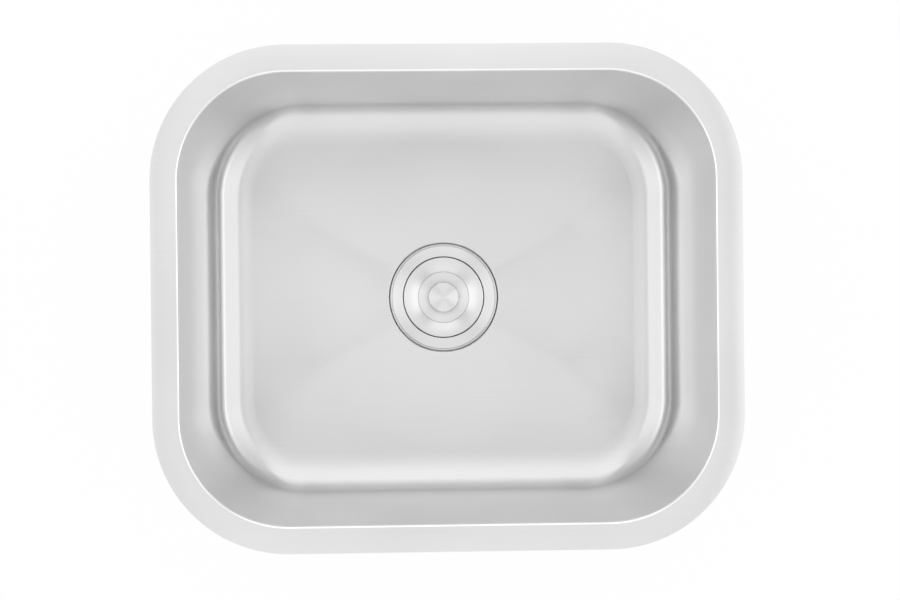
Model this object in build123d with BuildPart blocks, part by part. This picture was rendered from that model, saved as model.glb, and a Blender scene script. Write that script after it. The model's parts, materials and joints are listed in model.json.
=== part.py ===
# Undermount kitchen sink with a basket strainer and a lid on its drain.
#
# Millimetres. The origin is the centre of the bowl's opening, in the plane of the flange's top face.
# +X runs along the long side, +Y towards the back and +Z up.

from build123d import *
from math import cos, pi, radians, sin, tan
import os

os.makedirs("parts", exist_ok=True)

inch = 25.4

# ---------------------------------------------------------------- driving dimensions: pressed bowl
sheet = 1.2                             # 18 gauge stainless steel
flange_length = 21 * inch               # along X
flange_width = 18 * inch                # along Y
flange_corner = 122.5
flange_ring = 24.0                      # flat rim round the opening
rim_roll = 3.5                          # radius between flange and wall
wall_draft = 0.9                        # degrees
cove_wall_radius = 20.0                 # the cove is tight next to the wall
cove_floor_radius = 54.0                # and wide next to the floor
cove_slope = 30.0                       # degrees, where the two radii meet
cove_straight = 0.4                     # between the two radii
floor_depth = 222.0                     # flat floor round the dish
dish_radius = 150.0                     # the floor falls to the drain inside this
bowl_depth = 9 * inch                   # flange to the edge of the drain recess

# ---------------------------------------------------------------- driving dimensions: drain
recess_radius = 4.5 * inch / 2
recess_depth = 4.0
recess_lip = 1.5
outlet_radius = 3.5 * inch / 2

flange_seal_thickness = 1.0
flange_seal_inner_radius = 45.5
flange_seal_outer_radius = 55.5
strainer_flange_radius = 56.0
strainer_flange_edge = 0.7
strainer_crown = 1.7                    # top of the flange over its seal
mouth_radius = 43.3                     # bore that the lid sits in
mouth_bevel = 1.2
ledge_depth = 9.3                       # ledge below the crown, carries the basket
cup_radius = 41.2
cup_outer_radius = 44.2                 # threaded outside
cup_depth = 51.0                        # from the crown to where the bottom slopes in
cup_floor_drop = 10.0
cup_corner = 5.0
cup_wall = 3.0
outlet_bore_radius = 18.5
spud_radius = 23.5
spud_length = 20.0
crossbar_width = 3.0
crossbar_height = 3.0

gasket_thickness = 3.0
friction_washer_thickness = 1.0
clamp_ring_radius = 55.5                # gasket and washer under the recess
gasket_gap = 0.3                        # round the strainer's thread
nut_base_thickness = 3.5
nut_height = 11.0
nut_hub_radius = 49.0
nut_base_radius = 55.0
nut_lug_count = 8
nut_lug_width = 7.0
nut_lug_root = 1.0                      # how far a lug runs into the hub
thread_gap = 0.1

tailpiece_radius = 1.5 * inch / 2
tailpiece_bore_radius = 17.6
tailpiece_length = 4 * inch
tailpiece_flange_radius = 22.8
tailpiece_flange_thickness = 1.5
tailpiece_neck_radius = 18.7            # turned down where the coupling nut sits
tailpiece_neck_length = 7.0
tailpiece_shoulder = 0.6
tail_washer_thickness = 2.0
coupling_flats = 52.0                   # across the hexagon's flats
coupling_overlap = 12.0                 # length of thread on the outlet
coupling_lip = 4.0

# ---------------------------------------------------------------- driving dimensions: basket
basket_sheet = 0.8
basket_rim_radius = 42.8
basket_mouth_radius = 39.6              # inside the cup's wall
basket_foot_radius = 35.4
basket_depth = 38.0
basket_foot_bevel = 5.0
slot_count = 12
slot_width = 4.0
slot_height = 19.0
hole_radius = 2.4
hole_rings = ((11.0, 6), (23.0, 12))    # ring radius and number of holes
handle_wire = 2.4
handle_height = 9.3                     # wire's centre line below the basket's rim
handle_foot_height = 18.0
handle_grip = 40.0
handle_bend = 7.0

# ---------------------------------------------------------------- driving dimensions: lid
lid_sheet = 0.9
lid_radius = 42.5
lid_edge_bevel = 1.2
lid_flat_inner_radius = 36.0
lid_dish_radius = 27.0
lid_dish_depth = 3.0
lid_top_drop = 0.3                      # lid below the strainer's crown
seal_wall = 0.45
seal_base = 1.0
seal_inner_radius = 40.6
seal_height = 3.4
knob_radius = 15.8
knob_height = 7.0
knob_disc_thickness = 3.0
knob_neck_radius = 5.5
knob_foot_radius = 8.5
knob_bevel = 1.2
screw_radius = 2.5
screw_head_radius = 4.6
screw_head_height = 2.2
screw_head_bevel = 1.0
screw_reach = 5.5                       # thread inside the knob
knob_washer_radius = 8.0
knob_washer_thickness = 1.0

# ---------------------------------------------------------------- driving dimensions: sound pads
pad_thickness = 3.5
pad_corner = 14.0
wall_pad_height = 120.0
wall_pad_centre = 102.0                 # below the flange
side_pad_length = 180.0                 # left and right walls
long_pad_length = 255.0                 # front and back walls
floor_pad_length = 112.0
floor_pad_width = 280.0
floor_pad_centre = 136.0                # from the drain's axis, along X
dish_margin = 3.0                       # between pad and dish

# ---------------------------------------------------------------- worked out from the above
opening_length = flange_length - 2 * flange_ring
opening_width = flange_width - 2 * flange_ring
opening_corner = flange_corner - flange_ring
corner_x = opening_length / 2 - opening_corner      # centre of the corner's curve
corner_y = opening_width / 2 - opening_corner
draft = radians(wall_draft)
slope = radians(cove_slope)
cove_wall_reach = cove_wall_radius * tan((pi / 2 - draft - slope) / 2)
cove_floor_reach = cove_floor_radius * tan(slope / 2)
slope_length = cove_wall_reach + cove_straight + cove_floor_reach
knee_depth = floor_depth - slope_length * sin(slope)        # where wall and slope would meet
knee_corner = opening_corner - knee_depth * tan(draft)
foot_corner = knee_corner - slope_length * cos(slope)       # where slope and floor would meet
floor_corner = foot_corner - cove_floor_reach - sheet

seat_height = -bowl_depth - recess_depth
underside_height = seat_height - sheet
strainer_flange_foot = seat_height + flange_seal_thickness
crown_height = strainer_flange_foot + strainer_crown
ledge_height = crown_height - ledge_depth
cup_floor_height = crown_height - cup_depth
spud_top = cup_floor_height - cup_floor_drop
spud_foot = spud_top - spud_length
nut_top = underside_height - gasket_thickness - friction_washer_thickness
tail_washer_foot = spud_foot - tail_washer_thickness
tailpiece_foot = tail_washer_foot - tailpiece_length
lip_top = tail_washer_foot - tailpiece_flange_thickness     # the coupling nut's lip is below this
basket_rim_top = ledge_height + basket_sheet
basket_floor_height = basket_rim_top - basket_depth
lid_top = crown_height - lid_top_drop
lid_skirt_foot = basket_rim_top + seal_base
lid_dish_top = lid_top - lid_dish_depth
lid_dish_under = lid_dish_top - lid_sheet


def ring(inner_radius, outer_radius, bottom, thickness):
    """A flat ring about the drain's axis."""
    with BuildPart() as flat_ring:
        with BuildSketch(Plane.XY.offset(bottom)):
            Circle(outer_radius)
            Circle(inner_radius, mode=Mode.SUBTRACT)
        extrude(amount=thickness)
    return flat_ring


# ================================================================ pressed bowl
def sheet_section(towards_drain):
    """The sheet from the flange's edge to the foot of the cove, on a plane through the corner's axis."""
    plane = Plane(
        origin=(corner_x, corner_y, 0),
        x_dir=(abs(towards_drain[1]), abs(towards_drain[0]), 0),
        z_dir=(*towards_drain, 0),
    )
    with BuildSketch(plane) as section:
        with BuildLine():
            with BuildLine(mode=Mode.PRIVATE) as top_side:
                FilletPolyline(
                    (flange_corner, 0),
                    (opening_corner, 0),
                    (knee_corner, -knee_depth),
                    (foot_corner, -floor_depth),
                    (floor_corner, -floor_depth),
                    radius=[rim_roll, cove_wall_radius, cove_floor_radius],
                )
            offset(top_side.line, amount=sheet, side=Side.LEFT, closed=True)
        make_face()
    return section.sketch


with BuildPart() as sink_bowl:
    # one quarter of the flange, wall and cove, mirrored twice
    side_section = sheet_section(towards_drain=(0, -1))
    extrude(side_section, amount=corner_y)
    corner_axis = Axis((corner_x, corner_y, 0), (0, 0, 1))
    revolve(side_section, axis=corner_axis, revolution_arc=90)
    extrude(sheet_section(towards_drain=(1, 0)), amount=-corner_x)
    mirror(about=Plane.YZ)
    mirror(about=Plane.XZ)
    # flat floor, open for the dish
    with BuildSketch(Plane.XY.offset(-floor_depth)):
        RectangleRounded(
            2 * (corner_x + floor_corner), 2 * (corner_y + floor_corner), floor_corner
        )
        Circle(dish_radius, mode=Mode.SUBTRACT)
    extrude(amount=-sheet)
    # dish, recess and seat of the drain
    with BuildSketch(Plane.XZ):
        with BuildLine():
            Polyline(
                (dish_radius, -floor_depth),
                (recess_radius + recess_lip, -bowl_depth),
                (recess_radius, -bowl_depth - recess_lip),
                (recess_radius, seat_height),
                (outlet_radius, seat_height),
                (outlet_radius, underside_height),
                (recess_radius + sheet, underside_height),
                (recess_radius + sheet, -bowl_depth - recess_lip - sheet / 2),
                (recess_radius + recess_lip + sheet / 2, -bowl_depth - sheet),
                (dish_radius, -floor_depth - sheet),
                close=True,
            )
        make_face()
    revolve(axis=Axis.Z)

sink_bowl.part.label = "sink_bowl"
export_step(sink_bowl.part, "parts/sink_bowl.step")


# ================================================================ sound pads
def wall_pad(name, towards, half_opening, pad_length):
    """A rubber pad on the outside of one wall, lying in the drafted face."""
    distance = half_opening + sheet / cos(draft) - wall_pad_centre * tan(draft)
    face = Plane(
        origin=(towards[0] * distance, towards[1] * distance, -wall_pad_centre),
        x_dir=(-towards[1], towards[0], 0),
        z_dir=(towards[0] * cos(draft), towards[1] * cos(draft), -sin(draft)),
    )
    with BuildPart() as pad:
        with BuildSketch(face):
            RectangleRounded(pad_length, wall_pad_height, pad_corner)
        extrude(amount=pad_thickness)
    pad.part.label = name
    export_step(pad.part, f"parts/{name}.step")


wall_pad("pad_wall_right", (1, 0), opening_length / 2, side_pad_length)
wall_pad("pad_wall_left", (-1, 0), opening_length / 2, side_pad_length)
wall_pad("pad_wall_back", (0, 1), opening_width / 2, long_pad_length)
wall_pad("pad_wall_front", (0, -1), opening_width / 2, long_pad_length)


def floor_pad(name, side):
    """A rubber pad under the flat floor, cut to the dish, on one side of the drain."""
    with BuildPart() as pad:
        with BuildSketch(Plane.XY.offset(-floor_depth - sheet)):
            with Locations((side * floor_pad_centre, 0)):
                RectangleRounded(floor_pad_length, floor_pad_width, pad_corner)
            Circle(dish_radius + dish_margin, mode=Mode.SUBTRACT)
        extrude(amount=-pad_thickness)
    pad.part.label = name
    export_step(pad.part, f"parts/{name}.step")


floor_pad("pad_floor_right", 1)
floor_pad("pad_floor_left", -1)

# ================================================================ strainer
with BuildPart() as strainer_body:
    with BuildSketch(Plane.XZ):
        with BuildLine():
            Polyline(
                (strainer_flange_radius, strainer_flange_foot),
                (strainer_flange_radius, strainer_flange_foot + strainer_flange_edge),
                (mouth_radius + mouth_bevel, crown_height),
                (mouth_radius, crown_height - mouth_bevel),
                (mouth_radius, ledge_height),
                (cup_radius, ledge_height),
                (cup_radius, cup_floor_height + cup_corner),
                (cup_radius - cup_corner, cup_floor_height),
                (outlet_bore_radius, spud_top),
                (outlet_bore_radius, spud_foot),
                (spud_radius, spud_foot),
                (spud_radius, spud_top - cup_wall),
                (cup_outer_radius, cup_floor_height - cup_wall),
                (cup_outer_radius, strainer_flange_foot),
                close=True,
            )
        make_face()
    revolve(axis=Axis.Z)
    with BuildSketch(Plane.XY.offset(spud_top - crossbar_height)):
        Rectangle(2 * outlet_bore_radius + cup_wall, crossbar_width)
        Rectangle(crossbar_width, 2 * outlet_bore_radius + cup_wall)
    extrude(amount=crossbar_height)

strainer_body.part.label = "strainer_body"
export_step(strainer_body.part, "parts/strainer_body.step")

flange_seal = ring(
    flange_seal_inner_radius, flange_seal_outer_radius, seat_height, flange_seal_thickness
)
flange_seal.part.label = "flange_seal"
export_step(flange_seal.part, "parts/flange_seal.step")

deck_gasket = ring(
    cup_outer_radius + gasket_gap,
    clamp_ring_radius,
    underside_height - gasket_thickness,
    gasket_thickness,
)
deck_gasket.part.label = "deck_gasket"
export_step(deck_gasket.part, "parts/deck_gasket.step")

friction_washer = ring(
    cup_outer_radius + gasket_gap, clamp_ring_radius, nut_top, friction_washer_thickness
)
friction_washer.part.label = "friction_washer"
export_step(friction_washer.part, "parts/friction_washer.step")

with BuildPart() as lock_nut:
    with BuildSketch(Plane.XY.offset(nut_top)):
        Circle(nut_base_radius)
    extrude(amount=-nut_base_thickness)
    with BuildSketch(Plane.XY.offset(nut_top)):
        Circle(nut_hub_radius)
        with PolarLocations(nut_hub_radius - nut_lug_root, nut_lug_count):
            Rectangle(
                nut_base_radius - nut_hub_radius + nut_lug_root,
                nut_lug_width,
                align=(Align.MIN, Align.CENTER),
            )
    extrude(amount=-nut_height)
    with BuildSketch(Plane.XY.offset(nut_top)):
        Circle(cup_outer_radius + thread_gap)
    extrude(amount=-nut_height, mode=Mode.SUBTRACT)

lock_nut.part.label = "lock_nut"
export_step(lock_nut.part, "parts/lock_nut.step")

tailpiece_washer = ring(
    tailpiece_bore_radius, spud_radius, tail_washer_foot, tail_washer_thickness
)
tailpiece_washer.part.label = "tailpiece_washer"
export_step(tailpiece_washer.part, "parts/tailpiece_washer.step")

with BuildPart() as tailpiece:
    with BuildSketch(Plane.XZ):
        with BuildLine():
            neck_foot = lip_top - tailpiece_neck_length
            Polyline(
                (tailpiece_bore_radius, tail_washer_foot),
                (tailpiece_flange_radius, tail_washer_foot),
                (tailpiece_flange_radius, lip_top),
                (tailpiece_neck_radius, lip_top),
                (tailpiece_neck_radius, neck_foot),
                (tailpiece_radius, neck_foot - tailpiece_shoulder),
                (tailpiece_radius, tailpiece_foot),
                (tailpiece_bore_radius, tailpiece_foot),
                close=True,
            )
        make_face()
    revolve(axis=Axis.Z)

tailpiece.part.label = "tailpiece"
export_step(tailpiece.part, "parts/tailpiece.step")

with BuildPart() as coupling_nut:
    lip_foot = lip_top - coupling_lip
    nut_crown = spud_foot + coupling_overlap
    with BuildSketch(Plane.XY.offset(lip_foot)):
        RegularPolygon(coupling_flats / 2, 6, major_radius=False)
    extrude(amount=nut_crown - lip_foot)
    with BuildSketch(Plane.XZ):
        with BuildLine():
            corner = coupling_flats / 2 / cos(radians(30))
            bevel = corner - coupling_flats / 2
            Polyline(
                (0, lip_foot),
                (coupling_flats / 2, lip_foot),
                (corner, lip_foot + bevel),
                (corner, nut_crown - bevel),
                (coupling_flats / 2, nut_crown),
                (0, nut_crown),
                close=True,
            )
        make_face()
    revolve(axis=Axis.Z, mode=Mode.INTERSECT)
    with BuildSketch(Plane.XY.offset(lip_top)):
        Circle(spud_radius + thread_gap)
    extrude(amount=nut_crown - lip_top, mode=Mode.SUBTRACT)
    with BuildSketch(Plane.XY.offset(lip_foot)):
        Circle(tailpiece_radius + thread_gap)
    extrude(amount=coupling_lip, mode=Mode.SUBTRACT)

coupling_nut.part.label = "coupling_nut"
export_step(coupling_nut.part, "parts/coupling_nut.step")

# ================================================================ basket
with BuildPart() as basket_cup:
    with BuildSketch(Plane.XZ):
        with BuildLine():
            with BuildLine(mode=Mode.PRIVATE) as basket_skin:
                Polyline(
                    (basket_rim_radius, basket_rim_top),
                    (basket_mouth_radius, basket_rim_top),
                    (basket_foot_radius, basket_floor_height + basket_foot_bevel),
                    (basket_foot_radius - basket_foot_bevel, basket_floor_height),
                    (0, basket_floor_height),
                )
            offset(
                basket_skin.line,
                amount=basket_sheet,
                kind=Kind.INTERSECTION,
                side=Side.LEFT,
                closed=True,
            )
        make_face()
    revolve(axis=Axis.Z)
    # upright slots in the wall
    with BuildSketch(Plane.YZ.offset(basket_foot_radius - basket_foot_bevel)) as slot_outline:
        with Locations((0, (basket_rim_top + basket_floor_height) / 2)):
            SlotOverall(slot_height, slot_width, rotation=90)
    slot_reach = basket_rim_radius - basket_foot_radius + basket_foot_bevel
    slot = extrude(slot_outline.sketch, amount=slot_reach, mode=Mode.PRIVATE)
    with PolarLocations(0, slot_count, start_angle=180 / slot_count):
        add(slot, mode=Mode.SUBTRACT)
    # round holes in the floor
    with BuildSketch(Plane.XY.offset(basket_floor_height)):
        Circle(hole_radius)
        for ring_radius, hole_count in hole_rings:
            with PolarLocations(ring_radius, hole_count):
                Circle(hole_radius)
    extrude(amount=-basket_sheet, mode=Mode.SUBTRACT)

basket_cup.part.label = "basket_cup"
export_step(basket_cup.part, "parts/basket_cup.step")

with BuildPart() as basket_handle:
    wall_foot = (basket_foot_radius, basket_floor_height + basket_foot_bevel)
    wall_lean = (basket_mouth_radius - basket_foot_radius) / (basket_depth - basket_foot_bevel)
    wire_foot = basket_mouth_radius - wall_lean * handle_foot_height + handle_wire / 2
    with BuildLine(Plane.XZ) as handle_path:
        FilletPolyline(
            (-wire_foot, basket_rim_top - handle_foot_height),
            (-handle_grip / 2, basket_rim_top - handle_height),
            (handle_grip / 2, basket_rim_top - handle_height),
            (wire_foot, basket_rim_top - handle_foot_height),
            radius=handle_bend,
        )
    with BuildSketch(Plane(origin=handle_path.line @ 0, z_dir=handle_path.line % 0)):
        Circle(handle_wire / 2)
    sweep()
    # the wire's ends, cut to the basket's wall that they are welded to
    with BuildSketch(Plane.XZ):
        with BuildLine():
            Polyline(
                (basket_mouth_radius, basket_rim_top),
                wall_foot,
                (basket_rim_radius, wall_foot[1]),
                (basket_rim_radius, basket_rim_top),
                close=True,
            )
        make_face()
    revolve(axis=Axis.Z, mode=Mode.SUBTRACT)

basket_handle.part.label = "basket_handle"
export_step(basket_handle.part, "parts/basket_handle.step")

# ================================================================ lid
with BuildPart() as lid_disc:
    with BuildSketch(Plane.XZ):
        with BuildLine():
            Polyline(
                (lid_radius, lid_skirt_foot),
                (lid_radius, lid_top - lid_edge_bevel),
                (lid_radius - lid_edge_bevel, lid_top),
                (lid_flat_inner_radius, lid_top),
                (lid_dish_radius, lid_dish_top),
                (screw_radius, lid_dish_top),
                (screw_radius, lid_dish_under),
                (lid_dish_radius, lid_dish_under),
                (lid_flat_inner_radius, lid_top - lid_sheet),
                (lid_radius - lid_edge_bevel, lid_top - lid_sheet),
                (lid_radius - lid_sheet, lid_top - lid_edge_bevel),
                (lid_radius - lid_sheet, lid_skirt_foot),
                close=True,
            )
        make_face()
    revolve(axis=Axis.Z)

lid_disc.part.label = "lid_disc"
export_step(lid_disc.part, "parts/lid_disc.step")

with BuildPart() as lid_seal:
    with BuildSketch(Plane.XZ):
        with BuildLine():
            seal_foot = basket_rim_top
            Polyline(
                (seal_inner_radius, seal_foot),
                (lid_radius + seal_wall, seal_foot),
                (lid_radius + seal_wall, seal_foot + seal_height),
                (lid_radius, seal_foot + seal_height),
                (lid_radius, lid_skirt_foot),
                (lid_radius - lid_sheet, lid_skirt_foot),
                (lid_radius - lid_sheet, seal_foot + seal_height),
                (seal_inner_radius, seal_foot + seal_height),
                close=True,
            )
        make_face()
    revolve(axis=Axis.Z)

lid_seal.part.label = "lid_seal"
export_step(lid_seal.part, "parts/lid_seal.step")

with BuildPart() as lid_knob:
    knob_top = lid_dish_top + knob_height
    disc_foot = knob_top - knob_disc_thickness
    with BuildSketch(Plane.XZ):
        with BuildLine():
            Polyline(
                (0, knob_top),
                (knob_radius - knob_bevel, knob_top),
                (knob_radius, knob_top - knob_bevel),
                (knob_radius, disc_foot + knob_bevel),
                (knob_radius - knob_bevel, disc_foot),
                (knob_neck_radius, disc_foot),
                (knob_neck_radius, lid_dish_top + 2 * knob_bevel),
                (knob_foot_radius, lid_dish_top),
                (screw_radius, lid_dish_top),
                (screw_radius, lid_dish_top + screw_reach),
                (0, lid_dish_top + screw_reach),
                close=True,
            )
        make_face()
    revolve(axis=Axis.Z)

lid_knob.part.label = "lid_knob"
export_step(lid_knob.part, "parts/lid_knob.step")

knob_washer = ring(
    screw_radius,
    knob_washer_radius,
    lid_dish_under - knob_washer_thickness,
    knob_washer_thickness,
)
knob_washer.part.label = "knob_washer"
export_step(knob_washer.part, "parts/knob_washer.step")

with BuildPart() as knob_screw:
    head_top = lid_dish_under - knob_washer_thickness
    with BuildSketch(Plane.XY.offset(head_top - screw_head_height)):
        Circle(screw_head_radius)
    extrude(amount=screw_head_height)
    chamfer(knob_screw.faces().sort_by(Axis.Z)[0].edges(), screw_head_bevel)
    with BuildSketch(Plane.XY.offset(head_top)):
        Circle(screw_radius)
    extrude(amount=lid_dish_top + screw_reach - head_top)

knob_screw.part.label = "knob_screw"
export_step(knob_screw.part, "parts/knob_screw.step")
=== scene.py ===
# The looks of an undermount kitchen sink with a basket strainer and a lid on its drain.
# Metres, in the model's own frame: the origin is in the plane of the flange's top face, +Z is up.

import json
import math

import bmesh
import bpy
from mathutils import Matrix, Vector


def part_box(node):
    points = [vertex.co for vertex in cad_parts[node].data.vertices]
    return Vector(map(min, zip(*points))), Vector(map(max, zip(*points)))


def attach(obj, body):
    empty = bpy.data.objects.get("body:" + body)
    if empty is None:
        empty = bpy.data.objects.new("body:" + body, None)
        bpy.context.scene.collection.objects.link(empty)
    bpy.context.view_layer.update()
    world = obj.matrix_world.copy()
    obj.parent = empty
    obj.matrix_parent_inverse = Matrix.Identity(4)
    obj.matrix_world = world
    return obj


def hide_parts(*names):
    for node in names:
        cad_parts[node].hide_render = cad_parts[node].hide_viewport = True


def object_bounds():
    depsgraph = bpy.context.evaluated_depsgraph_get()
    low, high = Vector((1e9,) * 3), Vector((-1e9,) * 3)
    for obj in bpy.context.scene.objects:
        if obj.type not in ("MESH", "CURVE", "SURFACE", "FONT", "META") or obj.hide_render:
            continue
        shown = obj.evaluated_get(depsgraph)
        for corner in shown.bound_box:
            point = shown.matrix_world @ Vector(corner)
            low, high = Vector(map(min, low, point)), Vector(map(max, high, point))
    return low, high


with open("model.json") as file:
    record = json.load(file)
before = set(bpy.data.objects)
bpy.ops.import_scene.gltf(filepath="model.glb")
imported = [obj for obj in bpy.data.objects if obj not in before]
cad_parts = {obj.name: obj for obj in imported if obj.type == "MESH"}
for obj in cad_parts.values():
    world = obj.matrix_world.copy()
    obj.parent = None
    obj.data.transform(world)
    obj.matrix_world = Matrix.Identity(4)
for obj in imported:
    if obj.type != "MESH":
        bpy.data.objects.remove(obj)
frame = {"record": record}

cad_low, cad_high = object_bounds()
mm = 0.001

# ---------------------------------------------------------------- places read from the model
bowl_low, bowl_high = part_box("sink_bowl")
strainer_low, strainer_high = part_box("strainer_body")
tailpiece_low, tailpiece_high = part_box("tailpiece")
basket_low, basket_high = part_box("basket_cup")
lid_low, lid_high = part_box("lid_disc")
knob_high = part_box("lid_knob")[1]
nut_low, nut_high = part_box("lock_nut")
coupling_low, coupling_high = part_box("coupling_nut")

# ---------------------------------------------------------------- sizes of the pressed bowl
sheet = 1.2 * mm
flange_ring = 24 * mm
flange_corner = 122.5 * mm
flange_edge_round = 0.35 * mm
rim_roll = 2.6 * mm
lip_inset = 1.1 * mm                    # how far the lip stands in from the opening's outline
wall_draft = math.radians(0.9)
cove_wall_radius = 20 * mm              # tight next to the wall
cove_floor_radius = 54 * mm             # wide next to the floor
cove_slope = math.radians(30)           # where the two radii meet
cove_straight = 0.4 * mm                # the strip between them
floor_depth = 222 * mm
dish_radius = 150 * mm
dish_blend = 300 * mm                   # soft edge between floor and dish
bowl_depth = 228.6 * mm                 # at the dish's inner edge
recess_lip = 58.4 * mm                  # where the dish ends
recess_wall_top = 58.0 * mm             # the recess's wall leans, as a punch leaves it
recess_wall_foot = 57.1 * mm
recess_round = 2.0 * mm
recess_foot_round = 0.6 * mm
outlet_radius = 44.45 * mm
outlet_edge_round = 0.2 * mm
seat_height = bowl_low.z + sheet        # the recess's floor, which the drain stands on

# the cove as two arcs with a straight slope between them, and the wall above it, whose foot is
# where the draft puts it and whose head stands in with the lip
wall_reach = cove_wall_radius * math.tan((math.pi / 2 - wall_draft - cove_slope) / 2)
floor_reach = cove_floor_radius * math.tan(cove_slope / 2)
slope_length = wall_reach + cove_straight + floor_reach
knee_depth = floor_depth - slope_length * math.sin(cove_slope)
knee = knee_depth * math.tan(wall_draft)
wall_lean = math.atan((knee - lip_inset) / knee_depth)

opening_x = bowl_high.x - flange_ring
opening_y = bowl_high.y - flange_ring
opening_corner = flange_corner - flange_ring

# ---------------------------------------------------------------- sizes of the drain
crown = strainer_high.z
flange_foot = crown - 1.7 * mm
ledge_height = crown - 9.3 * mm
cup_floor = crown - 51 * mm
spud_top = crown - 61 * mm
spud_foot = strainer_low.z
strainer_rim = strainer_high.x
mouth_radius = 43.3 * mm
cup_radius = 41.2 * mm
cup_outer = 44.2 * mm
cup_wall = 3 * mm
outlet_bore = 18.5 * mm
spud_radius = 23.5 * mm
groove_outer = 55.3 * mm                # of the groove near the flange's edge
groove_middle = 54.95 * mm
groove_inner = 54.45 * mm
thread_pitch = 2.1 * mm
thread_rows = 0.35 * mm                 # height between the points that carry a thread
flank_power = 0.8                       # how the thread deepens from its crest to its root
tail_radius = 19.05 * mm
tail_bore = 17.6 * mm
basket_sheet = 0.8 * mm
basket_mouth = 39.6 * mm
lid_sheet = 0.9 * mm
lid_top = lid_high.z
dish_top = lid_top - 3 * mm
screw_radius = 2.5 * mm

# ---------------------------------------------------------------- sizes of the sound pads
pad_thickness = 3.5 * mm
pad_corner = 14 * mm
pad_edge = 1.2 * mm

# ---------------------------------------------------------------- how finely the meshes are cut
arc_step = math.radians(9)
arc_least = 3                           # facets of a small arc
corner_stations = 40
straight_spacing = 7 * mm
turned_segments = 160
bevel_segments = 4
sharp_angle = math.radians(38)
tolerance = 1e-7                        # distances below it count as nought

# ---------------------------------------------------------------- how the steel varies
line_shade, patch_shade = 0.008, 0.02   # of its brightness, to either side
# The roughness varies little, between 0.275 and 0.313 over all the steel. When the bowl's went from
# 0.23 to 0.29, renders showed streaks and stipple, probably from the denoiser.
line_rough, patch_rough = 0.003, 0.01
lip_highlight_gain = 0.17                         # how much brighter the painted highlight makes the lip's colour
sheet_lines = 750                       # noise cells per metre across the brushing
turned_lines = 1400
along_lines = 9                         # noise cells per metre along the brushing


# ================================================================ outlines
def fillet(before, corner, after, radius):
    """Points of the arc that rounds one corner of an outline."""
    back = (Vector(before) - Vector(corner)).normalized()
    ahead = (Vector(after) - Vector(corner)).normalized()
    turn = math.pi - back.angle(ahead)
    reach = radius * math.tan(turn / 2)
    centre = Vector(corner) + (back + ahead).normalized() * math.hypot(radius, reach)
    start = (Vector(corner) + back * reach - centre).normalized()
    end = (Vector(corner) + ahead * reach - centre).normalized()
    steps = max(arc_least, math.ceil(turn / arc_step))
    return [centre + start.slerp(end, i / steps) * radius for i in range(steps + 1)]


def rounded(path, closed=False):
    """Points of a path of (x, y, corner radius), with its corners rounded."""
    count = len(path)
    points = []
    for i, (x, y, radius) in enumerate(path):
        at_end = not closed and i in (0, count - 1)
        if at_end or radius == 0:
            points.append(Vector((x, y)))
            continue
        before = path[i - 1][:2]
        after = path[(i + 1) % count][:2]
        points += fillet(before, (x, y), after, radius)
    return points


def other_side(path, thickness):
    """The path's far side, one sheet's thickness to its right."""
    corners = [Vector(p[:2]) for p in path]
    moved = []
    for i, corner in enumerate(corners):
        into = (corner - corners[i - 1]).normalized() if i else None
        out = (corners[i + 1] - corner).normalized() if i + 1 < len(corners) else None
        into = into or out
        out = out or into
        right_in = Vector((into.y, -into.x))
        right_out = Vector((out.y, -out.x))
        shift = (right_in + right_out) * (thickness / (1 + right_in.dot(right_out)))
        left_turn = into.x * out.y - into.y * out.x > 0
        radius = path[i][2]
        if radius:
            radius += thickness if left_turn else -thickness
        moved.append((*(corner + shift), radius))
    return moved


def round_rectangle(half_x, half_y, corner, spacing, corner_count):
    """Stations (point, outward normal) round a rectangle with round corners, anticlockwise."""
    centre_x = half_x - corner
    centre_y = half_y - corner
    stations = []
    for quarter in range(4):
        turn = Matrix.Rotation(quarter * math.pi / 2, 2)
        along_x = quarter % 2 == 0
        across = centre_x if along_x else centre_y
        half = centre_y if along_x else centre_x
        count = math.ceil(2 * half / spacing)
        for i in range(count):
            point = Vector((across + corner, -half + 2 * half * i / count))
            stations.append((turn @ point, turn @ Vector((1, 0))))
        for i in range(corner_count):
            angle = math.pi / 2 * i / corner_count
            normal = Vector((math.cos(angle), math.sin(angle)))
            stations.append((turn @ (Vector((across, half)) + normal * corner), turn @ normal))
    return stations


# ================================================================ meshes
def finish_mesh(name, bm):
    """An object from a bmesh, smooth but for its sharp edges."""
    bmesh.ops.recalc_face_normals(bm, faces=bm.faces)
    mesh = bpy.data.meshes.new(name)
    bm.to_mesh(mesh)
    bm.free()
    mesh.shade_smooth()
    mesh.set_sharp_from_angle(angle=sharp_angle)
    piece = bpy.data.objects.new(name, mesh)
    bpy.context.scene.collection.objects.link(piece)
    return piece


def skin(bm, rows):
    """Faces over rows of points, closed along each row and from the last row to the first.
    A row of one point is a pole."""
    rings = [[bm.verts.new(point) for point in row] for row in rows]
    for i, ring in enumerate(rings):
        other = rings[(i + 1) % len(rings)]
        longest = max(len(ring), len(other))
        if longest == 1:
            continue
        for j in range(longest):
            following = (j + 1) % longest
            corners = [
                ring[j % len(ring)],
                ring[following % len(ring)],
                other[following % len(other)],
                other[j % len(other)],
            ]
            face = []
            for corner in corners:
                if corner not in face:
                    face.append(corner)
            bm.faces.new(face)
    return rings


def turned(name, outline, segments=turned_segments, reshape=None):
    """A closed outline of (radius, height), turned about the drain's axis."""
    rows = []
    for radius, height in outline:
        if radius < tolerance:
            rows.append([Vector((0, 0, height))])
            continue
        row = []
        for i in range(segments):
            angle = 2 * math.pi * i / segments
            r, z = reshape(angle, radius, height) if reshape else (radius, height)
            row.append(Vector((r * math.cos(angle), r * math.sin(angle), z)))
        rows.append(row)
    bm = bmesh.new()
    skin(bm, rows)
    return finish_mesh(name, bm)


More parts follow.
